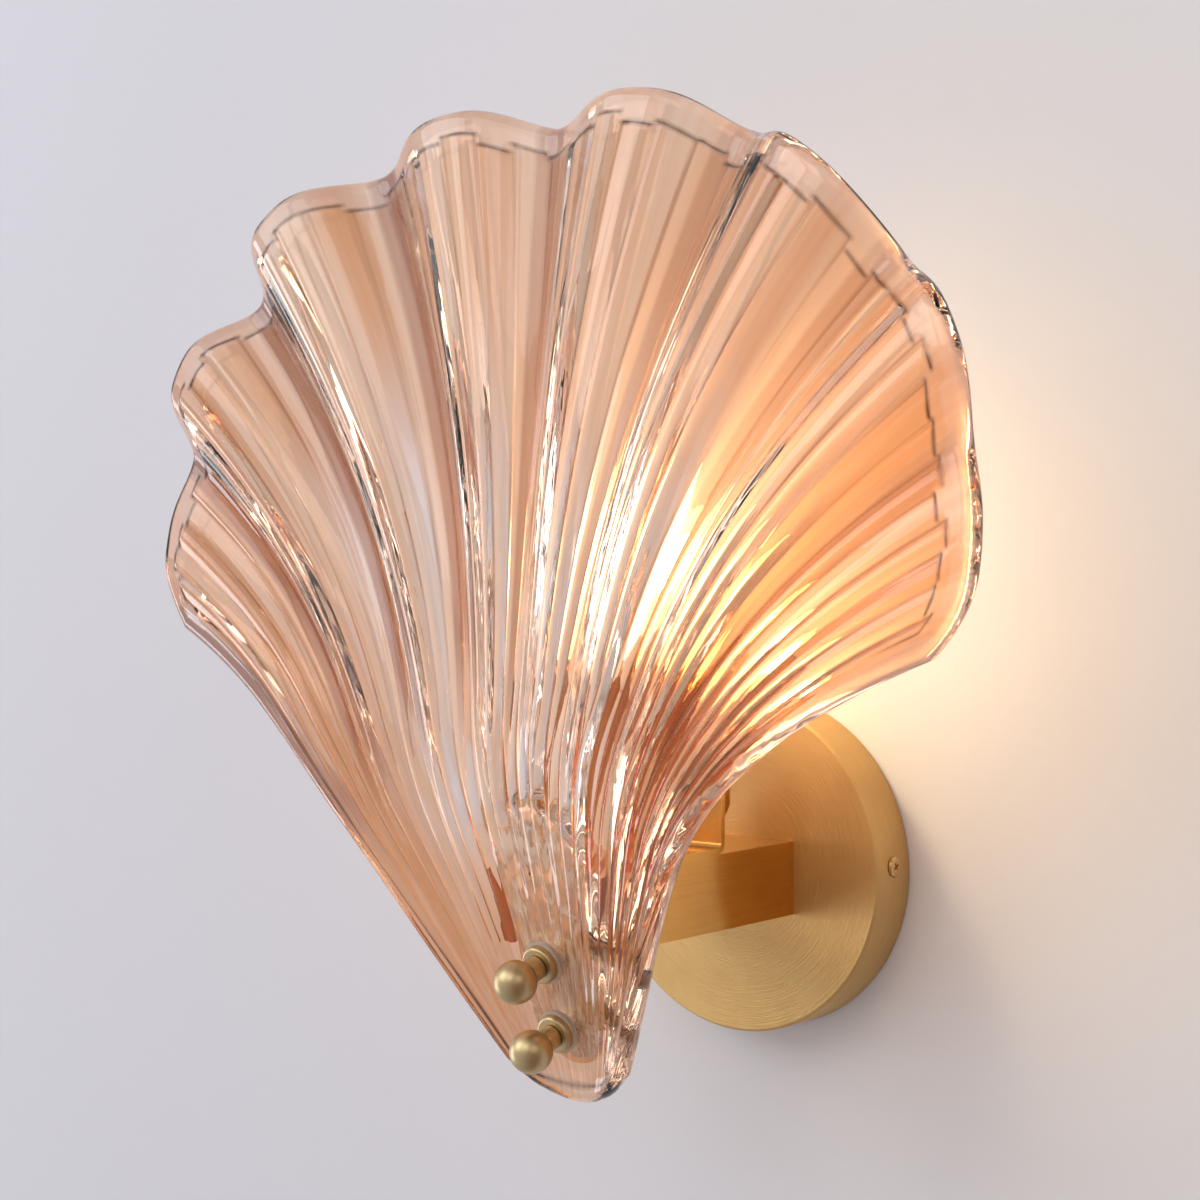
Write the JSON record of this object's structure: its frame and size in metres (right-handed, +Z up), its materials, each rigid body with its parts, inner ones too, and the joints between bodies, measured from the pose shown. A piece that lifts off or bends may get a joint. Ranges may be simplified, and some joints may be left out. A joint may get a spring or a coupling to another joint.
{
  "type": "wall sconce",
  "caption": "Wall sconce with a fluted fan of thick amber glass, held by ball nuts on a box arm over a round brass backplate, with a candle lamp behind it.",
  "frame": {"origin": "centre of the wall strap's two fixing slots, on the wall plane", "axes": "+Z up, -Y out of the wall toward the room, +X to the right for someone facing the light"},
  "size_m": [0.3346, 0.1545, 0.3274],
  "materials": {
    "satin_brass": "satin brushed, warm champagne brass under clear lacquer",
    "polished_brass": "polished, lacquered",
    "amber_shell_glass": "thick cast glass, glossy, amber to peach, lit from behind",
    "clear_gasket": "clear soft silicone",
    "soft_gasket": "translucent silicone sheet",
    "zinc_steel": "zinc plated",
    "tinned_tag": "tinned",
    "white_nylon": "moulded",
    "contact_brass": "bright",
    "cap_nickel": "nickel plated, rolled thread",
    "bulb_glass": "clear, thin",
    "filament_glow": "yellow phosphor stick, lit",
    "live_insulation": "brown",
    "neutral_insulation": "blue",
    "earth_insulation": "green with a yellow stripe"
  },
  "bodies": {
    "sconce": {"backplate": "satin_brass", "arm": "satin_brass", "lamp_screen": "satin_brass", "shade_strip": "satin_brass", "collars": "satin_brass", "holder_dome": "satin_brass", "holder_skirt": "satin_brass", "shade_studs": "polished_brass", "side_screws": "polished_brass", "screen_screws": "polished_brass", "strip_screws": "polished_brass", "shell_glass": "amber_shell_glass", "front_gaskets": "clear_gasket", "stud_sleeves": "clear_gasket", "pad_gasket": "soft_gasket", "wall_strap": "zinc_steel", "arm_screws": "zinc_steel", "arm_washers": "zinc_steel", "earth_screw": "zinc_steel", "holder_nipple": "zinc_steel", "nipple_nut": "zinc_steel", "terminal_screws": "zinc_steel", "earth_tag": "tinned_tag", "cable_bush": "white_nylon", "terminal_block": "white_nylon", "holder_insert": "white_nylon", "screw_sleeve": "contact_brass", "contact_tongue": "contact_brass", "live_lead": "live_insulation", "neutral_lead": "neutral_insulation", "earth_lead": "earth_insulation"},
    "upper_ball": {"upper_ball_nut": "polished_brass"},
    "lower_ball": {"lower_ball_nut": "polished_brass"},
    "lamp": {"lamp_glass": "bulb_glass", "lamp_cap": "cap_nickel", "lamp_tip": "contact_brass", "filament_stem": "bulb_glass", "filaments": "filament_glow"}
  },
  "joints": [
    {"name": "upper_ball_turn", "type": "hinge", "parent": "sconce", "child": "upper_ball", "pos_m": [0, -0.13601, -0.02309], "axis": [0, -0.9511, -0.309], "continuous": true},
    {"name": "lower_ball_turn", "type": "hinge", "parent": "sconce", "child": "lower_ball", "pos_m": [0, -0.12829, -0.04687], "axis": [0, -0.9511, -0.309], "continuous": true},
    {"name": "lamp_turn", "type": "hinge", "parent": "sconce", "child": "lamp", "pos_m": [0, -0.046, 0.06], "axis": [0, 0, 1], "continuous": true}
  ]
}
